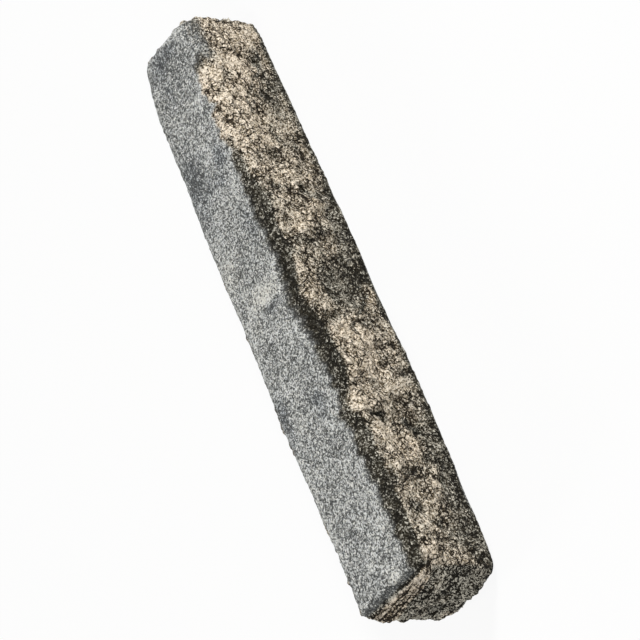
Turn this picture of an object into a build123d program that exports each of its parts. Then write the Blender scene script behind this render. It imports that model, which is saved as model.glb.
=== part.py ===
# Tumbled concrete garden palisade, one cast piece, lying on the face that was struck off in its mould.
# X runs along the stone from its near end (-X) to its far end, Y from the front face to the back, Z up.

import os
from math import ceil, cos, exp, pi, radians, sin

from build123d import *

# Overall sizes in millimetres, over the crests of the faces and the swell of the ends
length = 800
depth = 120
height = 120

# Long faces: they fall away from the middle of the stone towards its ends, and ripple on the way
side_fall = 3.5
top_fall = 1.2
ripple_rise = 0.5
ripple_pitch = 240
station_pitch = 40

# Long arrises: rounded by tumbling, more at some places than at others
arris_radius = 14.5
arris_variation = 0.8
arris_pitch = 240

# Bed: how much of the rounded section was struck off to leave it flat
bed_cut = 4

# Ends: an arris, rounded through end_turn degrees, then a rough face that swells out to a small flat;
# the section leans and skews towards each end, by as many degrees at the end itself
end_arris_radius = 12
end_turn = 60
arris_steps = 4
near_swell = 14
near_flat = 54
near_flat_drop = 29
near_flat_shift = 8
near_lean = 2.5
near_skew = 2.5
far_swell = 4.5
far_flat = 78
far_flat_drop = 10
far_flat_shift = 0
far_lean = -5
far_skew = -1

# Worn places on the long arrises: (distance from the middle of the stone, half width, extra radius)
front_top_wear = [(-20, 50, 14), (250, 90, 6), (length / 2 - 10, 25, 12)]
back_top_wear = [(length / 2, 50, 18)]
back_bottom_wear = [(15 - length / 2, 40, 2)]
front_bottom_wear = [(20 - length / 2, 50, 11)]

# Hewn hollows: (along the stone from its middle, up from the bed, width, depth) on the front and the back,
# and (across from the middle, up from the bed, width, depth) on the ends
front_hollows = [
    (-345, 42, 44, 2.5),
    (-290, 24, 60, 2.5),
    (-216, 104, 34, 2.5),
    (-203, 42, 30, 2),
    (-154, 72, 40, 2.5),
    (-64, 88, 40, 2.5),
    (-22, 52, 58, 3.5),
    (43, 78, 40, 2),
    (66, 22, 56, 2.5),
    (108, 100, 36, 2.5),
    (121, 48, 28, 2.5),
    (172, 70, 38, 2),
    (206, 44, 44, 2),
    (266, 48, 36, 2.5),
    (292, 89, 26, 2),
    (330, 32, 46, 2),
]
back_hollows = [
    (-330, 78, 48, 2.5),
    (-262, 36, 44, 2),
    (-180, 90, 40, 2.5),
    (-110, 50, 56, 3),
    (-20, 86, 44, 2),
    (58, 40, 48, 2.5),
    (140, 80, 50, 3),
    (214, 34, 40, 2),
    (290, 70, 52, 2.5),
]
near_hollows = [(-4, 42, 34, 3.5), (26, 26, 28, 3)]
far_hollows = [(-18, 66, 40, 2.5), (20, 36, 44, 2.5)]

# The long arrises in order round the section: side, on top or not, start of their ripple in degrees, wear
arrises = [
    (-1, True, 30, front_top_wear),
    (1, True, 130, back_top_wear),
    (1, False, 310, back_bottom_wear),
    (-1, False, 160, front_bottom_wear),
]


def wave(x, pitch, phase):
    return sin(2 * pi * x / pitch + radians(phase))


def shortfall(x, fall, phase):
    # how far a face stands inside the overall size at x
    return fall * (2 * x / length) ** 2 + ripple_rise * (1 + wave(x, ripple_pitch, phase))


def corner(x, side, on_top, phase):
    # the sharp corner of the section that an arris rounds off
    y = side * (depth / 2 - shortfall(x, side_fall, phase))
    z = height - shortfall(x, top_fall, phase) if on_top else -bed_cut
    return Vector(y, z)


def corner_radius(x, phase, wear):
    worn = sum(extra * exp(-(((x - place) / half_width) ** 2)) for place, half_width, extra in wear)
    return arris_radius + arris_variation * wave(x, arris_pitch, phase) + worn


def section_plane(x):
    lean, skew = (near_lean, near_skew) if x < 0 else (far_lean, far_skew)
    ease = (2 * x / length) ** 2
    return Plane.YZ.offset(x).rotated((0, lean * ease, skew * ease))


def face_reach(x, face_side):
    # how far a side face stands from the middle of the stone at x, between its two arrises
    phases = [phase for side, on_top, phase, wear in arrises if side == face_side]
    return depth / 2 - sum(shortfall(x, side_fall, phase) for phase in phases) / len(phases)


def ball_radius(width, bite):
    # the ball that cuts a hollow of this width and depth into a flat face
    return (width**2 / 4 + bite**2) / (2 * bite)


def end_profile(swell, flat):
    # distance out from the shoulder and share of the section, over the end's arris and on to its flat
    for step in range(1, arris_steps + 1):
        turn = radians(end_turn * step / arris_steps)
        yield end_arris_radius * sin(turn), 1 - 2 * end_arris_radius * (1 - cos(turn)) / height
    yield end_reach(swell), flat / height


def end_reach(swell):
    return end_arris_radius * sin(radians(end_turn)) + swell


# Stations along the stone: place, share of the full section, and the point that the section shrinks to
near_middle = Vector(near_flat_shift, height / 2 - near_flat_drop)
far_middle = Vector(far_flat_shift, height / 2 - far_flat_drop)
near_shoulder = end_reach(near_swell) - length / 2
far_shoulder = length / 2 - end_reach(far_swell)
run_count = ceil((far_shoulder - near_shoulder) / station_pitch)
run_pitch = (far_shoulder - near_shoulder) / run_count
near_profile = end_profile(near_swell, near_flat)
far_profile = end_profile(far_swell, far_flat)
near_stations = [(near_shoulder - out, share, near_middle) for out, share in near_profile]
run_stations = [(near_shoulder + run_pitch * index, 1, near_middle) for index in range(run_count + 1)]
far_stations = [(far_shoulder + out, share, far_middle) for out, share in far_profile]

with BuildPart() as palisade:
    for x, share, middle in near_stations[::-1] + run_stations + far_stations:
        full_corners = [corner(x, side, on_top, phase) for side, on_top, phase, wear in arrises]
        corners = [middle + (point - middle) * share for point in full_corners]
        radii = [corner_radius(x, phase, wear) * share for side, on_top, phase, wear in arrises]
        with BuildSketch(section_plane(x)):
            with BuildLine():
                FilletPolyline(*corners, radius=radii, close=True)
            make_face()
    loft(ruled=True)
    for face_side, hollows in ((-1, front_hollows), (1, back_hollows)):
        for x, z, width, bite in hollows:
            radius = ball_radius(width, bite)
            with Locations((x, face_side * (face_reach(x, face_side) + radius - bite), z)):
                Sphere(radius, mode=Mode.SUBTRACT)
    for end_side, hollows in ((-1, near_hollows), (1, far_hollows)):
        for y, z, width, bite in hollows:
            radius = ball_radius(width, bite)
            with Locations((end_side * (length / 2 + radius - bite), y, z)):
                Sphere(radius, rotation=(0, 0, 90), mode=Mode.SUBTRACT)
    split(bisect_by=Plane.XY, keep=Keep.TOP)

palisade.part.label = "palisade"
os.makedirs("parts", exist_ok=True)
export_step(palisade.part, "parts/palisade.step")
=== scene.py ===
import math

import bpy
import numpy as np
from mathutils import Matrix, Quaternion, Vector


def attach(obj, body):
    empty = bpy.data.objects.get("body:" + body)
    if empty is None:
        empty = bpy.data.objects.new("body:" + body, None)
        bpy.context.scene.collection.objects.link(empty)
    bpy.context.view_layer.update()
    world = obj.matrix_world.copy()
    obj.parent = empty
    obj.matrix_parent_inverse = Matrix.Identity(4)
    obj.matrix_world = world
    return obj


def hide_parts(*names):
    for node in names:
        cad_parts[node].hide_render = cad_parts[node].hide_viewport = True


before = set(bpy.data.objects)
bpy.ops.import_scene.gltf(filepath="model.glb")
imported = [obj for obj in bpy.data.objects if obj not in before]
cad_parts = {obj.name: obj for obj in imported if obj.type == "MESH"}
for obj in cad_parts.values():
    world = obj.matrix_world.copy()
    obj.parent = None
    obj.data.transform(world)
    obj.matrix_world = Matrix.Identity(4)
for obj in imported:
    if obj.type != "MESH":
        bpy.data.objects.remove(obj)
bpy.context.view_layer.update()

mm = 0.001

# how squarely a place looks one way, as cosines: where it starts to count and where it counts in full
facing = {
    "top": (0.6, 0.88),
    "bed": (0.8, 0.97),
    "underside": (0.5, 0.9),
    "front": (0.3, 0.7),
    "foot": (0.2, 0.65),
    "back": (0.2, 0.65),
    "backRim": (0.25, 0.6),
    "nearEnd": (0.6, 0.9),
    "nearTurn": (0.1, 0.65),   # on to the near end's arris
    "nearStop": (0.95, 0.88),  # and off it again, before the end's own face
    "browUp": (0.42, 0.6),     # the lighter brow where the top turns over to the near end
    "browOut": (0.1, 0.3),
    "farEnd": (0.35, 0.75),
    "lump": (0.8, 0.97),       # lumps and relief fade out towards the arrises
    "relief": (0.75, 0.95),
    "endRelief": (0.5, 0.85),
}

# what a user would change on the stone's form, lengths in mm
stoneForm = {
    "grid": 2.1,               # mesh spacing, fine enough for chips of 6 mm
    "smoothPasses": 5,         # takes the CAD facets out of the faces
    "seed": 7,
    "hollowCount": 150,        # shallow hewn hollows on the front, back and ends
    "hollowWidth": (16, 40),
    "hollowDepth": (0.5, 1.8),
    "hollowRough": 0.9,        # they stay off the top and the bed
    "hollowFlat": 0.97,        # and off the arrises
    "chipCount": 260,          # small chips along the arrises
    "chipWidth": (4, 13),
    "chipDepth": (0.3, 1.3),
    "chipRough": 0.15,         # just off the top and the bed
    "chipFlat": 0.85,          # and only where no face is squarer than this
    "chipLowest": 12,          # none nearer to the floor
    "blowStray": 0.12,         # how far a blow strays from straight in
    "lumpRise": 7.0,           # from a dark place up to a tan lump
    "layerRise": 1.5,          # the trowelled layers on the near end
    "layerCount": 5,
    "layerSlant": 30,          # radians for each metre across the end
    "layerCalm": 0.85,         # share of the relief that dirt fills, also taken away under the painted shade
    "dirtShadeCalm": 0.5,           # share of the relief that dirt fills
    "endRough": 1.5,           # the broken ends are rougher than the front by this factor
    "lastSmooth": 0.3,         # takes the sharpest points off
    "cavityPasses": 8,         # evens the mesh out over about 6 mm, to find its small hollows
    "cavityRange": (-0.4, 3),  # crests stay as they are, only hollows are darkened, as painted shade
}

# relief by size: noise, grain and height in mm, its middle, shares kept on the top and the arrises;
# a height below 0 turns the noise over, so that cells stand out as clods with creases between them
reliefLayers = [
    ("swell", "ORIGINAL_PERLIN", 60, 5.0, 0.5, 0.25, 0.3),
    ("lumps", "ORIGINAL_PERLIN", 26, 6.0, 0.5, 0.1, 0.35),
    ("clods", "VORONOI_F1", 20, -6.0, 0.52, 0.05, 0.25),
    ("plates", "VORONOI_F2_F1", 11, 2.6, 0.2, 0.12, 0.6),
    ("crumbs", "VORONOI_F1", 7.5, -5.0, 0.52, 0.1, 0.7),
    ("grit", "ORIGINAL_PERLIN", 5.5, 2.4, 0.5, 0.4, 0.9),
]

# places knocked out one by one: x, y, z of the surface, way in, width and depth, all in mm
knocks = [
    ((-38, -32, 117), (0.1, 0.35, -0.93), 34, 1.2),
    ((-18, -36, 116), (-0.2, 0.4, -0.9), 30, 1.2),
    ((-55, -43, 113), (0.2, 0.5, -0.85), 26, 1.4),
    ((-20, -52, 108), (0, 0.7, -0.7), 30, 1.6),
    ((-190, -57, 117), (0, 0.6, -0.7), 30, 2.0),
    ((105, -54, 116), (0, 0.6, -0.8), 46, 2.5),
    ((306, -52, 116), (0, 0.6, -0.8), 16, 2.5),
    ((-15, 5, 119), (0, 0, -1), 9, 1.0),
    ((-14, -6, 119), (0, 0, -1), 9, 1.3),
    ((-13, -17, 119), (0, 0, -1), 9, 1.0),
    ((-394, 36, 60), (0.8, -0.6, 0), 20, 3.5),
    ((-399, -25, 31), (0.9, 0.1, -0.4), 20, 5.0),
    ((-397, 8, 50), (0.9, 0, -0.4), 18, 4.5),
    ((-399, 11, 22), (0.9, 0, -0.4), 16, 4.5),
    ((-391, -42, 54), (0.8, 0.5, -0.3), 18, 4.0),
    ((-392, -12, 74), (0.9, 0, -0.4), 14, 3.5),
    ((-398, -6, 10), (0.9, 0.1, 0.2), 28, 9.0),
    ((119, -58, 4), (0, 1, 0.3), 14, 1.5),
    ((395, -50, 60), (-1, 0.3, 0), 14, 3.0),
    ((-205, -59, 42), (0, 1, 0), 14, 2.0),
    ((120, -59, 46), (0, 1, 0), 14, 2.5),
    ((292, -58, 90), (0, 1, 0), 10, 2.2),
]


def deselectAll():
    bpy.ops.object.select_all(action="DESELECT")


def applyModifier(piece, kind, **settings):
    modifier = piece.modifiers.new(kind.lower(), kind)
    for name, value in settings.items():
        setattr(modifier, name, value)
    bpy.context.view_layer.objects.active = piece
    bpy.ops.object.modifier_apply(modifier=modifier.name)


def readVectors(mesh, what):
    values = np.empty(len(mesh.vertices) * 3)
    source = mesh.vertices if what == "co" else mesh.vertex_normals
    source.foreach_get("co" if what == "co" else "vector", values)
    return values.reshape(-1, 3)


def writePlaces(mesh, places):
    mesh.vertices.foreach_set("co", places.ravel())
    mesh.update()


def ease(low, high, value):
    share = np.clip((value - low) / (high - low), 0, 1)
    return share * share * (3 - 2 * share)


def scoop(places, spot, inward, width, depth):
    # a hollow knocked out by a round ball that bites depth deep and width wide
    radius = (width / 2) ** 2 / (2 * depth) + depth / 2
    centre = spot - inward * (radius - depth)
    away = places - centre
    distance = np.linalg.norm(away, axis=1)
    inside = distance < radius
    places[inside] = centre + away[inside] * (radius / distance[inside])[:, None]


def topShare(normals):
    return ease(*facing["top"], normals[:, 2])


def bedShare(normals):
    return ease(*facing["bed"], -normals[:, 2])


def cutBlank(form):
    stone = bpy.data.objects.new("palisade_stone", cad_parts["palisade"].data.copy())
    bpy.context.collection.objects.link(stone)
    deselectAll()
    stone.select_set(True)
    bpy.context.view_layer.objects.active = stone
    bpy.ops.object.mode_set(mode="EDIT")
    bpy.ops.mesh.select_all(action="SELECT")
    bpy.ops.mesh.remove_doubles(threshold=0.01 * mm)
    bpy.ops.object.mode_set(mode="OBJECT")
    applyModifier(stone, "REMESH", mode="VOXEL", voxel_size=form["grid"] * mm, use_smooth_shade=True)
    applyModifier(stone, "SMOOTH", factor=0.5, iterations=form["smoothPasses"])
    print("blank cut,", len(stone.data.vertices), "points")
    return stone


# tan lumps seen on the front: x and z of the middle, half sizes, turn in degrees, amount
tanLumps = [
    (290, 80, 110, 38, 0, 0.7), (-115, 78, 55, 36, 0, 0.65), (-235, 72, 40, 28, 0, 0.2),
    (-384, 92, 8, 20, 0, 0.5), (-375, 103, 16, 12, 0, 0.7), (-374, 60, 10, 26, 0, 0.4),
    (-360, 92, 10, 8, 0, 0.4), (-328, 71, 20, 4, 5, 0.5), (-332, 82, 9, 5, 30, 0.35),
    (-307, 58, 11, 11, 0, 0.3), (-287, 91, 11, 5, -45, 0.45), (-285, 50, 10, 5, -40, 0.55),
    (-268, 40, 11, 5, -35, 0.45), (-212, 93, 10, 9, -30, 0.65), (-252, 90, 10, 8, 0, 0.6),
    (-236, 68, 18, 13, 0, 0.65), (-230, 49, 12, 9, 0, 0.75), (-181, 109, 9, 16, -10, 0.8),
    (-173, 94, 10, 10, 0, 0.55), (-112, 82, 17, 16, 0, 0.95), (-136, 93, 14, 11, -20, 0.75),
    (-124, 61, 15, 8, 0, 0.65), (-89, 96, 9, 13, 20, 0.6), (-66, 62, 30, 4, -62, 0.5),
    (-39, 23, 14, 5, -50, 0.5), (-26, 12, 14, 6, -15, 0.8), (-190, 35, 9, 10, 0, 0.4),
    (-160, 31, 8, 14, 20, 0.4), (-118, 24, 16, 8, 0, 0.2), (-95, 57, 8, 8, 0, 0.25),
    (-32, 108, 10, 7, -20, 0.45), (-14, 92, 18, 6, -10, 0.65), (-46, 86, 8, 5, 0, 0.35),
    (3, 104, 11, 12, 0, 0.5), (-30, 63, 5, 4, 0, 0.6), (36, 42, 6, 8, 20, 0.55),
    (56, 90, 8, 9, -20, 0.55), (72, 70, 14, 12, -35, 0.6), (84, 54, 14, 9, -45, 0.8),
    (99, 40, 8, 8, -45, 0.65), (106, 90, 6, 12, -20, 0.55), (118, 70, 8, 6, -30, 0.4),
    (139, 110, 8, 12, 0, 0.75), (144, 94, 9, 12, 0, 0.75), (136, 80, 8, 6, 0, 0.4),
    (141, 64, 12, 7, 0, 0.35), (163, 52, 8, 10, -30, 0.45), (138, 36, 8, 10, 0, 0.4),
    (182, 98, 12, 14, 0, 0.6), (202, 104, 16, 8, 0, 0.6), (219, 82, 8, 9, 0, 1.0),
    (190, 78, 7, 8, 0, 0.5), (202, 67, 12, 5, 0, 0.6), (222, 112, 20, 10, 0, 0.8),
    (246, 104, 9, 10, -30, 0.85), (280, 112, 18, 9, 0, 0.8), (268, 87, 20, 8, -38, 0.85),
    (300, 67, 22, 9, -30, 0.85), (330, 56, 22, 12, -10, 0.85), (304, 80, 12, 8, -20, 0.6),
    (370, 88, 8, 8, 0, 0.8), (362, 50, 14, 18, 0, 0.65), (368, 25, 14, 14, 0, 0.55),
    (322, 12, 14, 6, 0, 0.5), (218, 22, 12, 7, 0, 0.35), (187, 17, 10, 6, 0, 0.3),
]
# dark places between them, written the same way
darkPlaces = [
    (-300, 20, 110, 13, 0, 0.9), (-329, 61, 5, 4, 0, 0.8), (-345, 40, 10, 18, 0, 0.5),
    (-309, 86, 10, 8, 0, 0.5), (-273, 101, 8, 6, 0, 0.8), (-217, 110, 12, 6, -20, 0.7),
    (-195, 86, 5, 14, -20, 0.7), (-154, 71, 8, 12, -30, 0.6), (-152, 100, 4, 10, 0, 0.4),
    (-203, 45, 8, 5, -20, 0.8), (-208, 35, 6, 6, 0, 0.6), (-180, 60, 9, 7, 0, 0.3),
    (-71, 44, 6, 10, 20, 0.65), (-64, 88, 7, 18, 30, 0.6), (-22, 50, 26, 24, 0, 1.0),
    (-18, 72, 20, 7, 0, 0.7), (-26, 80, 6, 5, 0, 0.7), (-4, 18, 8, 8, 0, 0.8),
    (-138, 21, 6, 8, 0, 0.5), (-250, 42, 8, 8, 0, 0.45), (-266, 72, 5, 14, 0, 0.5),
    (-126, 77, 5, 5, 0, 0.5), (-120, 43, 14, 6, 0, 0.3), (30, 107, 7, 5, 0, 1.0),
    (43, 78, 7, 18, -15, 0.5), (60, 47, 5, 12, 25, 0.5), (66, 17, 42, 9, -5, 0.9),
    (20, 32, 15, 12, 0, 0.5), (121, 48, 6, 6, 0, 1.0), (112, 30, 7, 10, 0, 0.6),
    (92, 114, 10, 6, 0, 0.7), (108, 106, 8, 8, 0, 0.8), (124, 88, 5, 12, -20, 0.6),
    (164, 98, 8, 6, 0, 0.5), (172, 70, 9, 10, -40, 0.6), (190, 32, 8, 10, 0, 0.5),
    (206, 50, 16, 6, 0, 0.5), (205, 79, 6, 5, 0, 0.5), (264, 55, 6, 8, -30, 0.6),
    (268, 40, 6, 7, 0, 0.6), (240, 72, 14, 4, -10, 0.5), (270, 106, 12, 3, -20, 0.7),
    (292, 89, 6, 6, 0, 1.0), (275, 34, 30, 14, -25, 0.2), (235, 22, 34, 13, 0, 0.35),
    (326, 29, 18, 5, -5, 0.8), (285, 20, 14, 8, 0, 0.6), (328, 104, 20, 14, 0, 0.5),
    (245, 35, 14, 10, 0, 0.35),
]
# long crevices seen on the front: x and z of their points
crevices = [
    [(235, 75), (250, 78), (267, 68), (285, 55), (302, 38), (322, 26), (340, 21)],
    [(107, 34), (114, 46), (121, 50), (128, 57)],
    [(180, 100), (200, 107), (214, 103)],
    [(-195, 96), (-192, 86), (-194, 74)],
    [(-212, 28), (-207, 40), (-197, 45)],
    [(-78, 70), (-62, 52), (-46, 36), (-28, 18)],
    [(-104, 67), (-90, 69), (-74, 64)],
    [(-330, 78), (-327, 68), (-332, 58)],
]
# lighter and darker places on the broken near end: y and z of the middle, half sizes, turn, amount
nearPlaces = [
    (31, 16, 9, 9, 0, 0.9), (-7, 19, 9, 3, 20, 0.7), (-6, 50, 8, 5, 20, 0.6), (20, 4, 7, 4, 0, 0.5),
    (30, 60, 12, 7, 10, 0.6), (3, 70, 12, 5, 10, 0.5), (-30, 78, 12, 7, 10, 0.6), (-50, 28, 6, 8, 0, 0.5),
    (-25, 31, 10, 9, 0, -0.8), (8, 50, 8, 7, 0, -0.6), (10, 22, 7, 7, 0, -0.6), (-42, 52, 8, 12, 0, -0.5),
    (42, 40, 8, 10, 0, -0.4), (26, 7, 10, 8, 0, 0.8),
]
# lighter and darker places on the grey top: x and y of the middle, half sizes, turn, amount
topPlaces = [
    (-372, -16, 10, 10, 0, 0.5), (-322, -31, 14, 8, 0, 0.3), (-156, 26, 9, 9, 0, 0.3),
    (-22, 31, 10, 8, 0, 0.3), (4, 2, 12, 22, 0, 0.9), (60, 36, 22, 14, 0, 0.5),
    (335, -1, 12, 10, 0, 0.2), (320, 41, 12, 8, 0, 0.2), (-135, 44, 30, 8, 0, -0.8),
    (-147, -15, 10, 8, 0, -0.8), (-164, -16, 8, 7, 0, -0.5), (-15, -4, 5, 12, 0, -0.8),
    (178, 38, 46, 16, 0, -0.6), (171, 10, 12, 14, 0, -0.4), (191, -19, 14, 11, 0, -0.9),
    (164, -9, 8, 8, 0, -0.6), (209, 24, 14, 12, 0, -0.4), (315, 14, 15, 5, 0, -0.4),
    (365, -9, 10, 10, 0, -0.7), (360, 13, 14, 10, 0, -0.5), (88, -24, 18, 9, 0, -0.5),
    (352, 22, 30, 20, 0, -0.3),
]
# where the grey skin ends towards the front: x, y of its edge, softness,
# then the lowest z of the dark band below it and how dark that is
frontEdge = [
    (-400, -39, 8, 112, 1.0), (-320, -41, 8, 110, 1.0), (-250, -41, 8, 111, 1.0), (-235, -35, 8, 112, 1.0),
    (-215, -41, 8, 107, 1.0), (-188, -34, 8, 117, 1.0), (-165, -42, 7, 116, 0.9), (-140, -43, 7, 107, 0.9),
    (-95, -40, 8, 110, 1.0), (-62, -36, 10, 114, 1.0), (-45, -27, 16, 116, 0.85), (-10, -26, 16, 116, 0.85),
    (6, -34, 10, 112, 1.0), (55, -38, 8, 112, 1.0), (75, -34, 11, 114, 0.9), (100, -32, 11, 112, 0.9),
    (122, -37, 7, 116, 0.85), (160, -38, 6, 118, 0.8), (195, -39, 6, 119, 0.5), (207, -36, 4, 119, 0.0),
    (240, -36, 4, 119, 0.0), (249, -47, 4, 119, 0.1), (258, -37, 4, 119, 0.0), (298, -37, 4, 119, 0.0),
    (306, -37, 6, 116, 0.6), (320, -44, 14, 114, 0.4), (345, -49, 16, 112, 0.25), (400, -50, 16, 112, 0.2),
]
# how strong the marks are and how far they reach, lengths in mm
stoneMarks = {
    "placeFade": 0.8,          # how fast a place fades past its middle
    "darkForce": 1.15,         # a dark place against a tan lump
    "evenTan": 0.5,            # tan share where there is neither
    "tanForce": 0.75,          # tan share that a full lump adds
    "tanMost": 1.3,            # past 1 there are fewer dark grains in the tan
    "backTurn": (40, 118),     # the back has the front's places at these x and z less their own
    "nearLean": -0.28,         # the broken ends are darker all over
    "farLean": -0.1,
    "farDrop": 10,             # the far end has the near end's places, lower and the other way round
    "creviceHalf": 1.4,        # half width
    "creviceSwing": 1.5,       # how far it wanders, and how fast along x and z
    "creviceTurns": (5.1, 4.3),
    # along the crevices the stone is less tan and darker, as painted shade
    "creviceLean": 0.4,
    "creviceShade": 0.5,
    "edgeSwings": [(2.2, 6.1), (1.6, 2.7)],  # the skin's edge wanders by this much, this fast
    "skinFade": 4,
    "bandAcross": (6, -5),     # from the skin's edge, where the dark band starts and is full
    "bandUp": (-5, 4),         # the same from its lowest z
    # darker along the rounding on to the near end
    "endBandUp": (98, 107),
    "endBandDark": 0.9,
    "footUp": (15, 3),         # painted shade along the foot of the front, darker towards the floor
    "footShade": 0.7,
    "rimUp": (100, 112),       # painted shade along the top's back arris
    "rimShade": 0.2,
    "farTurnAlong": (300, 335),  # at the far end the skin turns over on to the front
    "farTurnUp": (86, 112),
    "farTurnSkin": 0.8,
    "farTurnDirt": 0.4,
    "wedgeLow": 90,            # trowelled layers below the near end's top edge
    "wedgeHigh": 108,
    "wedgeSlope": 0.12,        # wider towards the back
    "wedgeStart": (-0.15, 0.15),
    "wedgeStop": (1.2, 1.0),
    "farEndShare": 0.4,        # how much the far end counts as broken
}


def spread(u, v, placesList, fade):
    total = np.zeros_like(u)
    for middleU, middleV, halfU, halfV, turn, amount in placesList:
        cosTurn, sinTurn = math.cos(math.radians(turn)), math.sin(math.radians(turn))
        along = ((u - middleU) * cosTurn + (v - middleV) * sinTurn) / halfU
        across = ((v - middleV) * cosTurn - (u - middleU) * sinTurn) / halfV
        total += amount * np.exp(-(along ** 2 + across ** 2) * fade)
    return np.clip(total, -1, 1)


def alongLines(u, v, lines, marking):
    # 1 on the lines, falling to 0 beside them; the lines wander a little
    swing, (turnsU, turnsV) = marking["creviceSwing"], marking["creviceTurns"]
    u, v = u + swing * np.sin(v / turnsV), v + swing * np.sin(u / turnsU)
    nearest = np.full_like(u, np.inf)
    for line in lines:
        for (startU, startV), (endU, endV) in zip(line, line[1:]):
            runU, runV = endU - startU, endV - startV
            share = np.clip(((u - startU) * runU + (v - startV) * runV) / (runU ** 2 + runV ** 2), 0, 1)
            nearest = np.minimum(nearest, np.hypot(u - startU - share * runU, v - startV - share * runV))
    return np.exp(-(nearest / marking["creviceHalf"]) ** 2)


def markStone(base, normals, marking):
    x, y, z = base.T
    out, aside, up = normals.T
    top = topShare(normals)
    back = ease(*facing["back"], aside)
    nearEnd = ease(*facing["nearEnd"], -out)
    farEnd = ease(*facing["farEnd"], out)
    underside = ease(*facing["underside"], -up)
    fade = marking["placeFade"]

    # tan or dark on the front, and the same kind of places turned about on the unseen back
    turnX, turnZ = marking["backTurn"]
    onFront = (x, z, y < 0, ease(*facing["front"], -aside))
    onBack = (turnX - x, turnZ - z, back, back)
    lean, split = 0, 0
    for u, v, shown, cut in (onFront, onBack):
        lumps, darks = spread(u, v, tanLumps, fade), spread(u, v, darkPlaces, fade)
        lean += (lumps - marking["darkForce"] * darks) * shown
        split += alongLines(u, v, crevices, marking) * cut
    lean -= marking["creviceLean"] * split
    lean = lean * (1 - nearEnd - farEnd) + marking["nearLean"] * nearEnd + marking["farLean"] * farEnd
    lean += spread(y, z, nearPlaces, fade) * nearEnd
    lean += spread(-y, z + marking["farDrop"], nearPlaces, fade) * farEnd

    # the grey skin, its edge towards the front, and its turns over both ends
    columns = np.array(frontEdge).T
    edge, soft, low, darkness = [np.interp(x, columns[0], column) for column in columns[1:]]
    for swing, turns in marking["edgeSwings"]:
        edge = edge + swing * np.sin(x / turns)
    skin = ease(edge - soft, edge + marking["skinFade"], y)
    brow = ease(*facing["browUp"], up) * ease(*facing["browOut"], -out)
    farTurn = ease(*marking["farTurnAlong"], x) * ease(*marking["farTurnUp"], z) * (y < 0) * (1 - farEnd)

    # the dark band where the top turns over to the front, and on round the near end
    start, full = marking["bandAcross"]
    under, over = marking["bandUp"]
    band = darkness * ease(edge + start, edge + full, y) * ease(low + under, low + over, z)
    band *= (1 - nearEnd) * (y < 0)
    endBand = marking["endBandDark"] * ease(*marking["endBandUp"], z)
    endBand *= ease(*facing["nearTurn"], -out) * ease(*facing["nearStop"], -out)
    # painted shade along the foot of the front, darkest next to the floor
    foot = marking["footShade"] * ease(*marking["footUp"], z) * ease(*facing["foot"], -aside)
    # painted shade along the top's back arris
    rim = marking["rimShade"] * ease(*marking["rimUp"], z) * ease(*facing["backRim"], aside)
    farDirt = marking["farTurnDirt"] * farTurn * (1 - top)
    # dirt and painted shade in one mark: the dark bands and far-end dirt, with painted shade at the foot,
    # the back arris and in the crevices
    dirtAndShade = np.maximum.reduce([band, endBand, foot, rim, farDirt, marking["creviceShade"] * split])

    # how far up the wedge of layers a place is, from 0 to 1
    wedgeFoot = marking["wedgeLow"] - marking["wedgeSlope"] * y
    wedge = (z - wedgeFoot) / (marking["wedgeHigh"] - wedgeFoot)
    streak = nearEnd * ease(*marking["wedgeStart"], wedge) * ease(*marking["wedgeStop"], wedge)

    tan = np.clip(marking["evenTan"] + marking["tanForce"] * lean, 0, marking["tanMost"])
    cover = np.maximum(np.maximum(top, brow) * skin, marking["farTurnSkin"] * farTurn)
    return {
        "tanShare": tan * (1 - streak) + streak,
        "dirtShadeShare": np.clip(dirtAndShade * (1 - streak), 0, 1),
        "skinShare": np.clip(cover + underside, 0, 1),
        "topTone": spread(x, y, topPlaces, fade) * top,
        "endShare": np.maximum(nearEnd * (1 - streak), marking["farEndShare"] * farEnd),
        "streakShare": streak,
        "streakLayer": wedge,
    }


def hewStone(stone, base, normals, marks, form):
    # lumps and layers stand out, then hollows on the rough faces, chips on the arrises and the listed
    # knocks
    dice = np.random.default_rng(form["seed"])
    steepest = np.abs(normals).max(axis=1)
    rough = 1 - np.maximum(topShare(normals), bedShare(normals))
    lump = np.minimum(marks["tanShare"], 1) - stoneMarks["evenTan"]
    lift = lump * rough * ease(*facing["lump"], steepest) * form["lumpRise"] * mm
    turns = 2 * math.pi * form["layerCount"] * marks["streakLayer"] + form["layerSlant"] * base[:, 1]
    lift += marks["streakShare"] * form["layerRise"] * mm * np.sin(turns)
    start = base + normals * lift[:, None]
    places = start.copy()
    faces = np.flatnonzero((rough > form["hollowRough"]) & (steepest > form["hollowFlat"]))
    high = base[:, 2] > form["chipLowest"] * mm
    arrises = np.flatnonzero((rough > form["chipRough"]) & (steepest < form["chipFlat"]) & high)
    for kind, found in (("hollow", faces), ("chip", arrises)):
        for pick in dice.choice(found, form[kind + "Count"]):
            inward = -normals[pick] + dice.normal(0, form["blowStray"], 3)
            inward /= np.linalg.norm(inward)
            width = dice.uniform(*form[kind + "Width"]) * mm
            depth = dice.uniform(*form[kind + "Depth"]) * mm
            scoop(places, start[pick], inward, width, depth)
    for spot, inward, width, depth in knocks:
        scoop(places, np.array(spot) * mm, np.array(Vector(inward).normalized()), width * mm, depth * mm)
    writePlaces(stone.data, places)
    print("lumps raised, hollows, chips and knocks cut")
    return start


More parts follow.
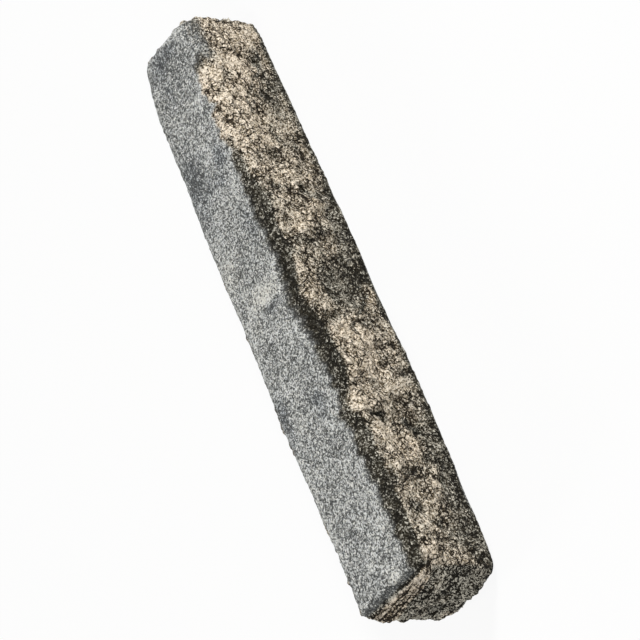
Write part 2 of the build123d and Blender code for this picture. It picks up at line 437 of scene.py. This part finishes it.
def roughenStone(stone, normals, marks, form):
    # relief, held back on the smoother top and along the arrises, stronger on the ends, none on the bed
    steepest = np.abs(normals).max(axis=1)
    ends = ease(*facing["endRelief"], np.abs(normals[:, 0])) * (1 - marks["streakShare"])
    for name, basis, grain, height, middle, topKept, arrisKept in reliefLayers:
        keep = (1 - marks["skinShare"] * (1 - topKept)) * (1 - bedShare(normals))
        keep *= arrisKept + (1 - arrisKept) * ease(*facing["relief"], steepest)
        keep *= (1 + (form["endRough"] - 1) * ends) * (1 - form["dirtShadeCalm"] * marks["dirtShadeShare"])
        keep *= 1 - form["layerCalm"] * marks["streakShare"]
        group = stone.vertex_groups.new(name=name)
        for index, weight in enumerate(keep / form["endRough"]):
            group.add([index], float(weight), "REPLACE")
        texture = bpy.data.textures.new(name, "CLOUDS")
        texture.noise_basis = basis
        texture.noise_type = "SOFT_NOISE"
        texture.noise_scale = grain * mm
        texture.noise_depth = 1
        applyModifier(stone, "DISPLACE", texture=texture, texture_coords="LOCAL", mid_level=middle,
                      strength=height * form["endRough"] * mm, vertex_group=name)
    stone.vertex_groups.clear()
    applyModifier(stone, "SMOOTH", factor=form["lastSmooth"], iterations=1)
    places = readVectors(stone.data, "co")
    places[:, 2] = np.maximum(places[:, 2], 0)  # nothing reaches below the floor
    writePlaces(stone.data, places)
    bpy.ops.object.shade_smooth()
    print("relief laid on")


def smallHollows(mesh, places, passes):
    # how deep each point lies below the evened out surface, in mm
    ends = np.empty(len(mesh.edges) * 2, int)
    mesh.edges.foreach_get("vertices", ends)
    first, second = ends.reshape(-1, 2).T
    there, back = np.append(first, second), np.append(second, first)
    count = np.bincount(there, minlength=len(places))
    even = places.copy()
    for step in range(passes):
        for axis in range(3):
            even[:, axis] = np.bincount(there, even[back, axis], len(places)) / count
    return np.einsum("ij,ij->i", even - places, readVectors(mesh, "normal")) / mm


def keepMarks(mesh, start, normals, marks, form):
    # the marks become attributes of the mesh, which the concrete reads
    places = readVectors(mesh, "co")
    # hollowDepth and cavity darken the concrete in hollows, as painted shade
    marks["hollowDepth"] = np.einsum("ij,ij->i", start - places, normals) / mm
    marks["cavity"] = np.clip(smallHollows(mesh, places, form["cavityPasses"]), *form["cavityRange"])
    for name, values in marks.items():
        layer = mesh.attributes.new(name, "FLOAT", "POINT")
        layer.data.foreach_set("value", values.astype(np.float32))
        print(name, "low, middle and high", np.percentile(values, (5, 50, 95)).round(2))


def linearColour(hexColour):
    parts = [int(hexColour[i:i + 2], 16) / 255 for i in (1, 3, 5)]
    return [p / 12.92 if p <= 0.04045 else ((p + 0.055) / 1.055) ** 2.4 for p in parts] + [1]


def addNode(tree, kind, inputs, output=0, stops=(), **settings):
    node = tree.nodes.new(kind)
    for name, value in settings.items():
        setattr(node, name, value)
    for name, value in inputs.items():
        if isinstance(value, bpy.types.NodeSocket):
            tree.links.new(value, node.inputs[name])
        else:
            node.inputs[name].default_value = value
    for index, (place, colour) in enumerate(stops):
        ramp = node.color_ramp.elements
        element = ramp[index] if index < 2 else ramp.new(place)
        element.position = place
        element.color = linearColour(colour)
    return None if output is None else node.outputs[output]


# tumbled concrete, matt all over: to the eye a fine grey cement skin on top, and where it was hewn
# tan limestone grit in dark cement, with pinholes and crevices; patterns by their real size
concreteLook = {
    "roughness": 0.92,
    "ior": 1.5,
    "specular": 0.3,
    "sand": 1.5,               # mm, single grains that show through the worn skin, drawn coarse to show
    "dimmedSand": 0.9,          # share of their contrast left under dirt and painted shade
    "noises": {                # size in mm, detail, roughness, distortion
        "dust": (2.6, 3, 0.8, 0.0),      # uneven cement paste between the grains
        "fleck": (3.8, 3, 0.7, 0.8),     # small winding flecks of grit
        "crumb": (4.6, 1, 0.6, 0.6),     # broken edges too small for the mesh
        "cloud": (34.0, 3, 0.55, 0.3),   # slow change of tone
        "ragged": (13.0, 3, 0.65, 0.5),  # edges of the tan and dark places
    },
    "holes": {                 # mm from one to the next, rarest cell that has one, widest share of its cell
        "pore": (4.4, 0.5, 0.42),        # pinholes
        "pit": (9.0, 0.7, 0.3),          # blow holes
        "speck": (5.72, 0.5, 0.3),       # light specks in the skin
    },
    "holeEdge": 0.12,          # share of its cell over which a hole's edge fades
    "plate": 8.5,              # mm, broken flakes
    "splits": {"crevice": (8.5, 0.11), "crack": (24.0, 0.05)},  # mm from one to the next, width as a share
    "splitPatch": 22.0,        # mm, crevices come and go over this length
    "splitRange": (0.38, 0.56),
    "bend": 8.0,               # mm, they wind over this length
    "bendReach": 9.0,          # by this much
    "layerLength": 50.0,       # mm, length of a trowelled streak
    "layerLines": 7.0,         # streaks across the wedge
    "layerGain": 4.5,          # their contrast and middle tone
    "layerShift": -2.3,
    # what makes a place tan, how its tone is summed up, and what the bump and the skin's edge follow
    "tanTones": {"ragged": 0.7, "kind": 0.5, "dirtAndShade": -1.35, "end": -0.4},
    "tanRange": (-0.05, 0.95),
    "hewnStart": 0.67,
    # in the hewn tones, hollow, cavity, pore, pit, crevice and crack are painted shade in recesses
    "hewnTones": {
        "sand": 1.3, "dust": 2.2, "fleck": 1.2, "cloud": 0.2, "plate": 0.2, "tan": 0.36, "dirtAndShade": -0.2,
        "hollow": -0.02, "cavity": -0.1, "pore": -0.55, "pit": -0.5, "crevice": -0.75, "crack": -1.0,
        "streak": 1.6, "end": 0.2},
    "endGain": 1.9,            # the broken ends show this much more contrast
    "greyStart": 0.475,
    # in the grey tones, cavity and pit are painted shade in recesses
    "greyTones": {
        "sand": 1.2, "dust": 2.2, "fleck": 1.1, "crumb": 1.1, "cloud": 1.0, "top": 0.42, "cavity": -0.25,
        "pit": -0.25, "dirtAndShade": -0.5, "speck": 0.8},
    "hueTones": {"kind": 1.2},
    "skinTones": {"ragged": 0.84, "fleck": 0.6},
    "skinRange": (0.05, 0.9),
    "bumpTones": {"crumb": 1.5, "pore": -0.2, "pit": -0.6, "crevice": -0.9, "crack": -1.0},
    "bumpHeight": 4.0,         # mm, for a tone of 1
    "skinBump": 0.5,           # share of the bump on the grey skin
    # colours by tone, both ends of each ramp first
    "greyStops": [(0.0, "#4b4c4b"), (1.0, "#dcdcd8"), (0.3, "#747572"), (0.5, "#939491"), (0.7, "#b2b3af")],
    "tanStops": [(0.0, "#30261a"), (1.0, "#faecd8"), (0.3, "#786a52"), (0.5, "#b4a48b"), (0.7, "#d9c8af")],
    "darkStops": [(0.0, "#211d12"), (1.0, "#cec9bb"), (0.3, "#3d382b"), (0.5, "#5a574d"), (0.7, "#878377")],
    "topTints": [(0.0, "#edf1f8"), (1.0, "#fffcf5")],
}


def sumTones(tree, tones, weights, total):
    for name, weight in weights.items():
        total = addNode(tree, "ShaderNodeMath", {
            0: tones[name], 1: weight, 2: total}, operation="MULTIPLY_ADD")
    return total


def makeConcrete(look):
    material = bpy.data.materials.new("tumbled_concrete")
    material.use_nodes = True
    tree = material.node_tree
    tree.nodes.clear()
    spot = addNode(tree, "ShaderNodeTexCoord", {}, "Object")
    marks = {}
    for name in ("tanShare", "dirtShadeShare", "skinShare", "endShare", "topTone", "streakShare", "streakLayer",
                 "hollowDepth", "cavity"):
        marks[name] = addNode(tree, "ShaderNodeAttribute", {}, "Fac", attribute_name=name)
    tones = {"dirtAndShade": marks["dirtShadeShare"], "hollow": marks["hollowDepth"], "cavity": marks["cavity"],
             "top": marks["topTone"], "end": marks["endShare"]}

    # sand: each grain has its own tone and its own kind of stone, around 0, and dirt and painted shade dim
    # the tones
    cells = addNode(tree, "ShaderNodeTexVoronoi", {
        "Vector": spot, "Scale": 1 / (look["sand"] * mm)}, "Color")
    for name, channel in (("sand", "Red"), ("kind", "Green")):
        grain = addNode(tree, "ShaderNodeSeparateColor", {"Color": cells}, channel)
        tones[name] = addNode(tree, "ShaderNodeMath", {0: grain, 1: 0.5}, operation="SUBTRACT")
    clear = addNode(tree, "ShaderNodeMapRange", {
        "Value": marks["dirtShadeShare"], "To Min": 1.0, "To Max": look["dimmedSand"]})
    tones["sand"] = addNode(tree, "ShaderNodeMath", {0: tones["sand"], 1: clear}, operation="MULTIPLY")

    # paste, flecks, crumbs, clouds and ragged edges, all around 0
    for name, (size, detail, roughness, distortion) in look["noises"].items():
        noise = addNode(tree, "ShaderNodeTexNoise", {
            "Vector": spot, "Scale": 1 / (size * mm), "Detail": detail, "Roughness": roughness,
            "Distortion": distortion})
        tones[name] = addNode(tree, "ShaderNodeMath", {0: noise, 1: 0.5}, operation="SUBTRACT")

    # round pinholes and blow holes, darkened as painted shade, and light specks, each in some of its cells
    for name, (size, rare, widest) in look["holes"].items():
        settings = {"Vector": spot, "Scale": 1 / (size * mm)}
        gap = addNode(tree, "ShaderNodeTexVoronoi", settings, "Distance")
        cell = addNode(tree, "ShaderNodeTexVoronoi", settings, "Color")
        chance = addNode(tree, "ShaderNodeSeparateColor", {"Color": cell}, "Green")
        reach = addNode(tree, "ShaderNodeMapRange", {
            "Value": chance, "From Min": rare, "From Max": 1.0, "To Min": 0.0, "To Max": widest})
        inside = addNode(tree, "ShaderNodeMath", {0: reach, 1: gap}, operation="SUBTRACT")
        tones[name] = addNode(tree, "ShaderNodeMapRange", {
            "Value": inside, "From Min": 0.0, "From Max": look["holeEdge"]})

    # flakes with a tone each, crevices that come and go between them, and longer cracks; the crevices and
    # cracks are darkened as painted shade
    bend = addNode(tree, "ShaderNodeTexNoise", {
        "Vector": spot, "Scale": 1 / (look["bend"] * mm), "Detail": 2.0}, "Color")
    winding = addNode(tree, "ShaderNodeVectorMath", {
        0: bend, 1: [look["bendReach"] * mm] * 3, 2: spot}, operation="MULTIPLY_ADD")
    flake = addNode(tree, "ShaderNodeTexVoronoi", {
        "Vector": winding, "Scale": 1 / (look["plate"] * mm)}, "Color")
    flake = addNode(tree, "ShaderNodeSeparateColor", {"Color": flake}, "Red")
    tones["plate"] = addNode(tree, "ShaderNodeMath", {0: flake, 1: 0.5}, operation="SUBTRACT")
    none, full = look["splitRange"]
    patch = addNode(tree, "ShaderNodeTexNoise", {
        "Vector": spot, "Scale": 1 / (look["splitPatch"] * mm), "Detail": 1.0})
    patch = addNode(tree, "ShaderNodeMapRange", {"Value": patch, "From Min": none, "From Max": full})
    for name, (size, width) in look["splits"].items():
        toEdge = addNode(tree, "ShaderNodeTexVoronoi", {
            "Vector": winding, "Scale": 1 / (size * mm)}, "Distance", feature="DISTANCE_TO_EDGE")
        line = addNode(tree, "ShaderNodeMapRange", {
            "Value": toEdge, "From Min": width, "From Max": 0.0}, interpolation_type="SMOOTHSTEP")
        tones[name] = addNode(tree, "ShaderNodeMath", {0: line, 1: patch}, operation="MULTIPLY")

    # trowelled layers below the top edge of the near end
    across = addNode(tree, "ShaderNodeSeparateXYZ", {"Vector": spot}, "Y")
    across = addNode(tree, "ShaderNodeMath", {
        0: across, 1: 1 / (look["layerLength"] * mm)}, operation="MULTIPLY")
    layer = addNode(tree, "ShaderNodeMath", {
        0: marks["streakLayer"], 1: look["layerLines"]}, operation="MULTIPLY")
    layers = addNode(tree, "ShaderNodeCombineXYZ", {"X": across, "Y": layer, "Z": 0.0}, "Vector")
    layers = addNode(tree, "ShaderNodeTexNoise", {
        "Vector": layers, "Scale": 1.0, "Detail": 2.0, "Distortion": 0.4})
    layers = addNode(tree, "ShaderNodeMath", {
        0: layers, 1: look["layerGain"], 2: look["layerShift"]}, operation="MULTIPLY_ADD")
    tones["streak"] = addNode(tree, "ShaderNodeMath", {
        0: layers, 1: marks["streakShare"]}, operation="MULTIPLY")

    # hewn faces: tan or dark, ragged where they meet
    none, full = look["tanRange"]
    tanMix = sumTones(tree, tones, look["tanTones"], marks["tanShare"])
    tanMix = addNode(tree, "ShaderNodeMapRange", {"Value": tanMix, "From Min": none, "From Max": full})
    tones["tan"] = addNode(tree, "ShaderNodeMath", {0: tanMix, 1: 0.5}, operation="SUBTRACT")
    hewnTone = sumTones(tree, tones, look["hewnTones"], 0.0)
    gain = addNode(tree, "ShaderNodeMapRange", {
        "Value": marks["endShare"], "To Min": 1.0, "To Max": look["endGain"]})
    hewnTone = addNode(tree, "ShaderNodeMath", {
        0: hewnTone, 1: gain, 2: look["hewnStart"]}, operation="MULTIPLY_ADD")
    dark = addNode(tree, "ShaderNodeValToRGB", {"Fac": hewnTone}, stops=look["darkStops"])
    tan = addNode(tree, "ShaderNodeValToRGB", {"Fac": hewnTone}, stops=look["tanStops"])
    hewn = addNode(tree, "ShaderNodeMix", {0: tanMix, 6: dark, 7: tan}, 2, data_type="RGBA")

    # grey skin: the same grain, bluer in its dark places
    greyTone = sumTones(tree, tones, look["greyTones"], look["greyStart"])
    grey = addNode(tree, "ShaderNodeValToRGB", {"Fac": greyTone}, stops=look["greyStops"])
    hue = sumTones(tree, tones, look["hueTones"], marks["topTone"])
    hue = addNode(tree, "ShaderNodeMapRange", {"Value": hue, "From Min": -1.0, "From Max": 1.0})
    tint = addNode(tree, "ShaderNodeValToRGB", {"Fac": hue}, stops=look["topTints"])
    grey = addNode(tree, "ShaderNodeMix", {
        0: 1.0, 6: grey, 7: tint}, 2, data_type="RGBA", blend_type="MULTIPLY")

    # the skin frays a little where it meets the hewn faces, and is smoother than they are
    none, full = look["skinRange"]
    fray = sumTones(tree, tones, look["skinTones"], marks["skinShare"])
    skin = addNode(tree, "ShaderNodeMapRange", {"Value": fray, "From Min": none, "From Max": full})
    colour = addNode(tree, "ShaderNodeMix", {0: skin, 6: hewn, 7: grey}, 2, data_type="RGBA")
    height = sumTones(tree, tones, look["bumpTones"], 0.0)
    strength = addNode(tree, "ShaderNodeMapRange", {
        "Value": skin, "To Min": 1.0, "To Max": look["skinBump"]})
    bump = addNode(tree, "ShaderNodeBump", {
        "Height": height, "Strength": strength, "Distance": look["bumpHeight"] * mm})
    shader = addNode(tree, "ShaderNodeBsdfPrincipled", {
        "Base Color": colour, "Roughness": look["roughness"], "IOR": look["ior"],
        "Specular IOR Level": look["specular"], "Normal": bump})
    addNode(tree, "ShaderNodeOutputMaterial", {"Surface": shader}, None)
    print("concrete mixed")
    return material


# studio: pale paper floor, a key lamp in front towards the far end, a soft lamp above the near end,
# a weak one behind, and even light from all round
studio = {
    "floorSize": 12.0,         # metres
    "floorColour": "#e6e6e4",
    "backlit": 0.9,            # share of the paper's light that comes through it, for the camera alone
    "skyStrength": 0.18,
    "lamps": [                 # name, place and width in metres, watts
        ("top_lamp", (-1.7, -0.4, 2.0), 0.9, 23),
        ("back_lamp", (-0.6, 3.0, 1.6), 1.2, 36),
        ("key_lamp", (2.5, -2.2, 2.5), 0.7, 150),
    ],
}


def buildStudio(setup):
    scene = bpy.context.scene
    scene.view_settings.view_transform = "Standard"
    deselectAll()
    bpy.ops.mesh.primitive_plane_add(size=setup["floorSize"], location=(0, 0, 0))
    floor = bpy.context.active_object
    floor.name = "studio_floor"
    material = bpy.data.materials.new("matt_paper")
    material.use_nodes = True
    tree = material.node_tree
    tree.nodes.clear()
    # matt paper that the camera sees mostly lit from behind, so it stays white and keeps a light shadow
    seen = addNode(tree, "ShaderNodeLightPath", {}, "Is Camera Ray")
    backlit = addNode(tree, "ShaderNodeMath", {0: seen, 1: setup["backlit"]}, operation="MULTIPLY")
    paper = addNode(tree, "ShaderNodeBsdfDiffuse", {"Color": linearColour(setup["floorColour"])})
    glow = addNode(tree, "ShaderNodeEmission", {"Color": (1, 1, 1, 1), "Strength": 1.0})
    mixed = addNode(tree, "ShaderNodeMixShader", {0: backlit, 1: paper, 2: glow})
    addNode(tree, "ShaderNodeOutputMaterial", {"Surface": mixed}, None)
    floor.data.materials.append(material)

    for name, place, width, power in setup["lamps"]:
        bpy.ops.object.light_add(type="AREA", location=place)
        lamp = bpy.context.active_object
        lamp.name = name
        lamp.data.shape = "DISK"
        lamp.data.size = width
        lamp.data.energy = power
        lamp.rotation_euler = (-Vector(place)).to_track_quat("-Z", "Y").to_euler()  # aimed at the stone

    world = bpy.data.worlds.new("even_sky")
    world.use_nodes = True
    sky = world.node_tree.nodes["Background"]
    sky.inputs["Color"].default_value = (1, 1, 1, 1)
    sky.inputs["Strength"].default_value = setup["skyStrength"]
    scene.world = world
    print("floor, lamps and sky in place")


# camera, turned on its side as the stone stands in the picture
view = {
    "place": (-1.0952, -1.3574, 1.5424),
    "aim": (-0.0236, 0.0029, 0.0457),
    "roll": -86.1,             # degrees
    "lens": 112.2,             # mm on a sensor this wide
    "sensor": 36,
}


def buildCamera(setup):
    camera = bpy.data.cameras.new("camera")
    camera.sensor_width = setup["sensor"]
    camera.lens = setup["lens"]
    cameraObject = bpy.data.objects.new("camera", camera)
    cameraObject.location = setup["place"]
    cameraObject.rotation_mode = "QUATERNION"
    turn = Quaternion((0, 0, 1), math.radians(setup["roll"]))
    ahead = Vector(setup["aim"]) - Vector(setup["place"])
    cameraObject.rotation_quaternion = ahead.to_track_quat("-Z", "Y") @ turn
    bpy.context.collection.objects.link(cameraObject)
    bpy.context.scene.camera = cameraObject
    print("camera set")


stone = cutBlank(stoneForm)
base, normals = readVectors(stone.data, "co"), readVectors(stone.data, "normal")
marks = markStone(base / mm, normals, stoneMarks)
start = hewStone(stone, base, normals, marks, stoneForm)
roughenStone(stone, normals, marks, stoneForm)
keepMarks(stone.data, start, normals, marks, stoneForm)
stone.data.materials.clear()
stone.data.materials.append(makeConcrete(concreteLook))
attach(stone, "root")
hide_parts("palisade")
buildStudio(studio)
buildCamera(view)
print("stone triangles", sum(len(face.vertices) - 2 for face in stone.data.polygons))
